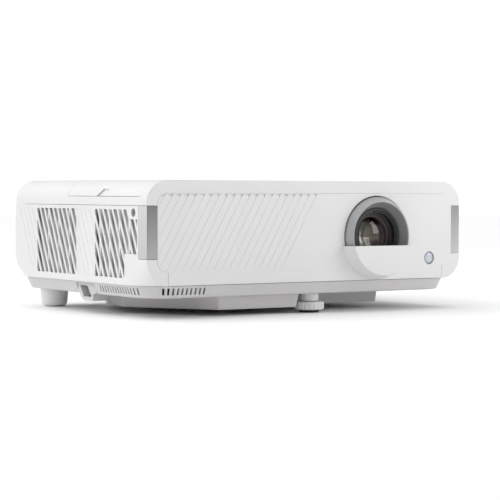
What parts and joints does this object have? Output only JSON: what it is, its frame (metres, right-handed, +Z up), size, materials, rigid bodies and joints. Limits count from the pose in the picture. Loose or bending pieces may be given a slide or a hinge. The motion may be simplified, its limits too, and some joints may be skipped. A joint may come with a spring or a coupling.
{
  "type": "home projector",
  "caption": "Tabletop home projector with a rounded white casing, ribbed face, half-moon lens hood, slanted side vents, screw foot and rear connectors.",
  "frame": {"origin": "middle of the footprint, on the table, counting the lens hood", "axes": "+X to the right for someone facing the lens, the lens looks along -Y, +Z up"},
  "size_m": [0.312, 0.234, 0.108],
  "materials": {
    "white_shell": "white moulded plastic, fine satin texture",
    "grey_case": "pale warm grey moulded plastic",
    "satin_trim": "satin metallic grey",
    "ir_filter": "translucent bluish grey filter",
    "pale_ring": "pale grey knurled plastic",
    "black_plastic": "black moulded plastic",
    "lens_glass": "clear optical glass",
    "coated_glass": "optical glass with a violet coating",
    "light_guide": "clear light guide",
    "white_foot": "white moulded plastic",
    "rubber": "dark soft rubber",
    "key_grey": "grey key caps",
    "circuit_board": "green solder resist",
    "plated_steel": "plated sheet steel",
    "cast_alloy": "cast light alloy"
  },
  "bodies": {
    "case": {"upper_shell": "white_shell", "left_side_panel": "white_shell", "right_side_panel": "white_shell", "front_panel": "white_shell", "left_corner_trim": "satin_trim", "right_corner_trim": "satin_trim", "lens_hood": "white_shell", "ir_window": "ir_filter", "lower_case": "grey_case", "base_cover": "grey_case", "security_bar": "grey_case", "rear_panel": "white_shell", "lens_barrel": "black_plastic", "lens_retaining_ring": "black_plastic", "front_lens": "coated_glass", "rear_lens": "lens_glass", "front_foot_bushing": "white_shell", "rear_left_foot": "white_foot", "rear_right_foot": "white_foot", "keypad_plate": "white_shell", "status_lights": "light_guide", "keypad_board": "circuit_board", "ac_inlet": "black_plastic", "hdmi_port_1": "plated_steel", "hdmi_port_2": "plated_steel", "usb_a_port": "plated_steel", "usb_c_port": "plated_steel", "audio_jack": "black_plastic", "serial_port": "plated_steel", "main_board": "circuit_board", "power_board": "circuit_board", "light_engine": "cast_alloy", "imager_heatsink": "cast_alloy", "colour_wheel_motor": "black_plastic", "lamp_housing": "black_plastic", "lamp_reflector": "plated_steel", "lamp_burner": "lens_glass", "exhaust_fan_frame": "black_plastic", "intake_fan_frame": "black_plastic", "speaker": "black_plastic", "left_inner_grille": "white_shell", "right_inner_grille": "white_shell"},
    "zoom_ring": {"zoom_ring": "pale_ring"},
    "focus_ring": {"focus_ring": "pale_ring"},
    "foot_pad": {"front_foot_pad": "rubber"},
    "foot_screw": {"front_foot_screw": "white_foot"},
    "lamp_cover": {"lamp_cover": "white_shell"},
    "lamp_cover_screw": {"lamp_cover_screw": "plated_steel"},
    "exhaust_rotor": {"exhaust_fan_rotor": "black_plastic"},
    "intake_rotor": {"intake_fan_rotor": "black_plastic"},
    "colour_wheel": {"colour_wheel": "coated_glass"},
    "power_button": {"power_button": "key_grey"},
    "source_button": {"source_button": "key_grey"},
    "menu_button": {"menu_button": "key_grey"},
    "back_button": {"back_button": "key_grey"},
    "up_button": {"up_button": "key_grey"},
    "down_button": {"down_button": "key_grey"},
    "left_button": {"left_button": "key_grey"},
    "right_button": {"right_button": "key_grey"},
    "enter_button": {"enter_button": "key_grey"}
  },
  "joints": [
    {"name": "focus_turn", "type": "hinge", "parent": "case", "child": "focus_ring", "pos_m": [0.0658, -0.108, 0.0625], "axis": [0, -1, 0], "range_deg": [-45, 45]},
    {"name": "zoom_turn", "type": "hinge", "parent": "case", "child": "zoom_ring", "pos_m": [0.0658, -0.097, 0.0625], "axis": [0, -1, 0], "range_deg": [0, 40]},
    {"name": "foot_extend", "type": "slide", "parent": "case", "child": "foot_pad", "axis": [0, 0, -1], "range_m": [0, 0.012]},
    {"name": "foot_turn", "type": "hinge", "parent": "foot_pad", "child": "foot_screw", "pos_m": [0.0105, -0.086, 0.006], "axis": [0, 0, -1], "range_deg": [0, 2160]},
    {"name": "lamp_cover_lift", "type": "slide", "parent": "case", "child": "lamp_cover", "axis": [0, 0, 1], "range_m": [0, 0.05]},
    {"name": "lamp_cover_screw_turn", "type": "hinge", "parent": "case", "child": "lamp_cover_screw", "pos_m": [-0.156, -0.0846, 0.0826], "axis": [-1, 0, 0], "range_deg": [0, 1080]},
    {"name": "power_button_press", "type": "slide", "parent": "case", "child": "power_button", "axis": [0, 0, -1], "range_m": [0, 0.0008], "stiffness_N_per_m": 900, "springref_m": -0.0004},
    {"name": "source_button_press", "type": "slide", "parent": "case", "child": "source_button", "axis": [0, 0, -1], "range_m": [0, 0.0008], "stiffness_N_per_m": 900, "springref_m": -0.0004},
    {"name": "menu_button_press", "type": "slide", "parent": "case", "child": "menu_button", "axis": [0, 0, -1], "range_m": [0, 0.0008], "stiffness_N_per_m": 900, "springref_m": -0.0004},
    {"name": "back_button_press", "type": "slide", "parent": "case", "child": "back_button", "axis": [0, 0, -1], "range_m": [0, 0.0008], "stiffness_N_per_m": 900, "springref_m": -0.0004},
    {"name": "up_button_press", "type": "slide", "parent": "case", "child": "up_button", "axis": [0, 0, -1], "range_m": [0, 0.0008], "stiffness_N_per_m": 900, "springref_m": -0.0004},
    {"name": "down_button_press", "type": "slide", "parent": "case", "child": "down_button", "axis": [0, 0, -1], "range_m": [0, 0.0008], "stiffness_N_per_m": 900, "springref_m": -0.0004},
    {"name": "left_button_press", "type": "slide", "parent": "case", "child": "left_button", "axis": [0, 0, -1], "range_m": [0, 0.0008], "stiffness_N_per_m": 900, "springref_m": -0.0004},
    {"name": "right_button_press", "type": "slide", "parent": "case", "child": "right_button", "axis": [0, 0, -1], "range_m": [0, 0.0008], "stiffness_N_per_m": 900, "springref_m": -0.0004},
    {"name": "enter_button_press", "type": "slide", "parent": "case", "child": "enter_button", "axis": [0, 0, -1], "range_m": [0, 0.0008], "stiffness_N_per_m": 900, "springref_m": -0.0004},
    {"name": "exhaust_fan_spin", "type": "hinge", "parent": "case", "child": "exhaust_rotor", "pos_m": [-0.135, 0.042, 0.056], "axis": [1, 0, 0], "continuous": true},
    {"name": "intake_fan_spin", "type": "hinge", "parent": "case", "child": "intake_rotor", "pos_m": [0.135, 0.042, 0.056], "axis": [1, 0, 0], "continuous": true},
    {"name": "colour_wheel_spin", "type": "hinge", "parent": "case", "child": "colour_wheel", "pos_m": [-0.0395, -0.024, 0.075], "axis": [1, 0, 0], "continuous": true}
  ],
  "couplings": [
    {"joint": "foot_turn", "follows": "foot_extend", "rad_per_m": 3141.6}
  ]
}
